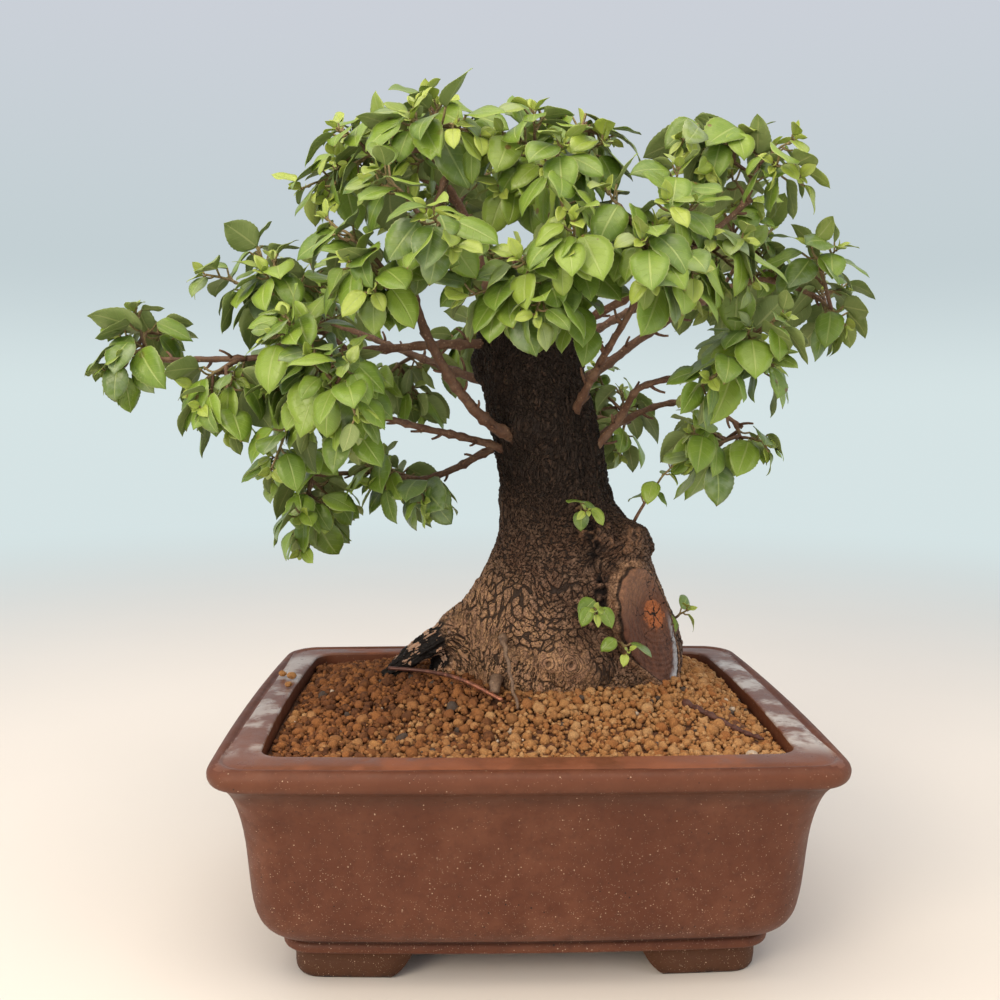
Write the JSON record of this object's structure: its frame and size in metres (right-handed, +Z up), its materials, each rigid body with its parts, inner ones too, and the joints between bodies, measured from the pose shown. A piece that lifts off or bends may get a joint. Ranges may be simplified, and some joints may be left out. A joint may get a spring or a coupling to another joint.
{
  "type": "potted bonsai tree",
  "caption": "Broadleaf bonsai with a thick tapering trunk, flared root base, healed pruning cut and a domed leafy crown, planted in granular soil in a footed rectangular clay pot.",
  "frame": {"origin": "middle of the object's bounding box, on the plane that the pot's feet stand on", "axes": "+Z up, +X to the right along the pot's long side, -Y towards the front of the pot, where the pruning cut shows"},
  "size_m": [0.4276, 0.3094, 0.4504],
  "materials": {
    "clay": "unglazed fired clay, satin",
    "soil": "rough baked clay granules",
    "bark": "rough fissured bark",
    "branch_bark": "smooth red-brown bark",
    "leaf": "satin leaf",
    "copper_wire": "tarnished copper",
    "pebble": "matte stone"
  },
  "bodies": {
    "root": {"dead_twig": "bark", "limb_back": "branch_bark", "limb_back_low": "branch_bark", "limb_front_left": "branch_bark", "limb_leader": "branch_bark", "limb_left_back": "branch_bark", "limb_left_long": "branch_bark", "limb_left_low": "branch_bark", "limb_left_mid": "branch_bark", "limb_right_back": "branch_bark", "limb_right_down": "branch_bark", "limb_right_far": "branch_bark", "limb_right_low": "branch_bark", "limb_right_mid": "branch_bark", "limb_right_upper": "branch_bark", "limb_top": "branch_bark", "pot": "clay", "rim_grain_back": "soil", "rim_grain_front": "soil", "rim_grain_mid": "soil", "soil": "soil", "spray_back": "leaf", "spray_back_left": "leaf", "spray_back_left_low": "leaf", "spray_back_low": "leaf", "spray_back_mid": "leaf", "spray_back_right": "leaf", "spray_crown": "leaf", "spray_crown_back": "leaf", "spray_crown_front": "leaf", "spray_crown_left": "leaf", "spray_crown_mid": "leaf", "spray_front": "leaf", "spray_front_left": "leaf", "spray_front_right": "leaf", "spray_left_droop": "leaf", "spray_left_front": "leaf", "spray_left_hang": "leaf", "spray_left_rise": "leaf", "spray_left_skirt": "leaf", "spray_left_tip": "leaf", "spray_left_under": "leaf", "spray_right_crown": "leaf", "spray_right_front": "leaf", "spray_right_low": "leaf", "spray_right_mid": "leaf", "spray_right_tip": "leaf", "spray_right_top": "leaf", "spray_shoulder_left": "leaf", "spray_upper_left": "leaf", "sprout_cut_left": "leaf", "sprout_cut_low": "leaf", "sprout_cut_right": "leaf", "sprout_shoulder": "leaf", "sprout_waist": "leaf", "stone_grey": "pebble", "stone_orange": "pebble", "stone_pale": "pebble", "tie_wire": "copper_wire", "trunk": "bark"}
  },
  "joints": []
}
